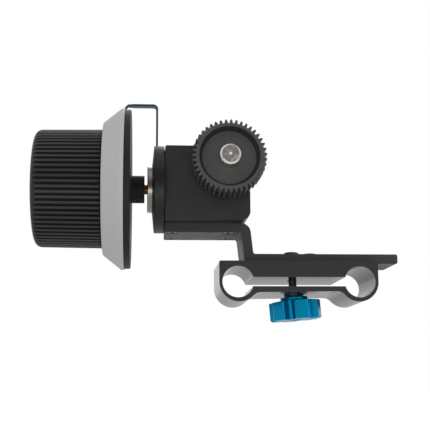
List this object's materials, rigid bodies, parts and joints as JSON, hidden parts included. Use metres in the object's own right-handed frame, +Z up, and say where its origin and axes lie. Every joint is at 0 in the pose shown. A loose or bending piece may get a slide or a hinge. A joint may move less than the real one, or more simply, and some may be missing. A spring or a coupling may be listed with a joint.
{
  "type": "follow focus unit",
  "caption": "Follow focus unit: a fluted hand wheel with a blank dial turns a toothed lens gear through a right-angle gear box, on a stepped bracket held to rods by a slotted clamp.",
  "frame": {"origin": "midway between the two rod axes, at the middle of the rod clamp's length", "axes": "+Y along the rods, away from the side the lens gear is on; +X from the hand wheel towards the bracket's foot end, along the hand wheel's axis; +Z up, from the rods towards the gear box"},
  "size_m": [0.1821, 0.082, 0.1121],
  "materials": {
    "grip_rubber": "matt, fluted",
    "wheel_black": "black anodised",
    "dial_grey": "matt grey, blank",
    "ring_black": "black anodised, turned",
    "sleeve_silver": "turned",
    "shaft_bronze": "turned",
    "gear_brass": "machined",
    "steel": "ground",
    "screws_black": "black oxide",
    "pointer_blue": "dark blue-green",
    "anodised_black": "black anodised, fine satin",
    "gear_plastic": "moulded",
    "knob_blue": "blue anodised, satin"
  },
  "bodies": {
    "base": {"rod_clamp": "anodised_black", "z_bracket": "anodised_black", "foot_screws": "screws_black", "bracket_screws": "screws_black", "gear_housing": "anodised_black", "rear_cover": "anodised_black", "cover_screws": "screws_black", "bearing_sleeve": "sleeve_silver", "input_bearings": "steel", "layshaft_bearings": "steel", "output_bearings": "steel"},
    "wheel": {"grip_sleeve": "grip_rubber", "wheel_core": "wheel_black", "end_plate": "wheel_black", "end_plate_screws": "screws_black", "crank_socket": "steel", "dial_ring": "dial_grey", "dial_backplate": "wheel_black", "backplate_screws": "screws_black", "hub_grub_screw": "screws_black", "input_shaft": "shaft_bronze", "input_bevel": "gear_brass"},
    "layshaft": {"layshaft": "steel", "layshaft_bevel": "gear_brass", "layshaft_spur": "gear_brass"},
    "output": {"output_shaft": "steel", "output_spur": "gear_brass", "drive_gear": "gear_plastic", "gear_grub_screw": "screws_black"},
    "pointer": {"pointer_ring": "ring_black", "pointer_strip": "pointer_blue", "pointer_screw": "screws_black"},
    "washer": {"clamp_washer": "screws_black"},
    "clamp_knob": {"clamp_screw": "screws_black", "star_knob": "knob_blue"}
  },
  "joints": [
    {"name": "wheel_spin", "type": "hinge", "parent": "base", "child": "wheel", "pos_m": [-0.0445, 0, 0.04895], "axis": [1, 0, 0], "continuous": true},
    {"name": "layshaft_spin", "type": "hinge", "parent": "base", "child": "layshaft", "pos_m": [-0.0445, 0, 0.04895], "axis": [0, 1, 0], "continuous": true},
    {"name": "output_spin", "type": "hinge", "parent": "base", "child": "output", "pos_m": [-0.03495, 0, 0.0585], "axis": [0, 1, 0], "continuous": true},
    {"name": "pointer_turn", "type": "hinge", "parent": "base", "child": "pointer", "pos_m": [-0.068, 0, 0.04895], "axis": [1, 0, 0], "continuous": true},
    {"name": "clamp_travel", "type": "slide", "parent": "base", "child": "washer", "axis": [0.0785, 0, -0.9969], "range_m": [0, 0.0021]},
    {"name": "knob_turn", "type": "hinge", "parent": "washer", "child": "clamp_knob", "pos_m": [-0.0002, 0, -0.00452], "axis": [0.0785, 0, -0.9969], "range_deg": [0, 1080.01]}
  ],
  "couplings": [
    {"joint": "layshaft_spin", "follows": "wheel_spin", "ratio": 1},
    {"joint": "output_spin", "follows": "wheel_spin", "ratio": -1.5714},
    {"joint": "knob_turn", "follows": "clamp_travel", "rad_per_m": 8976}
  ]
}
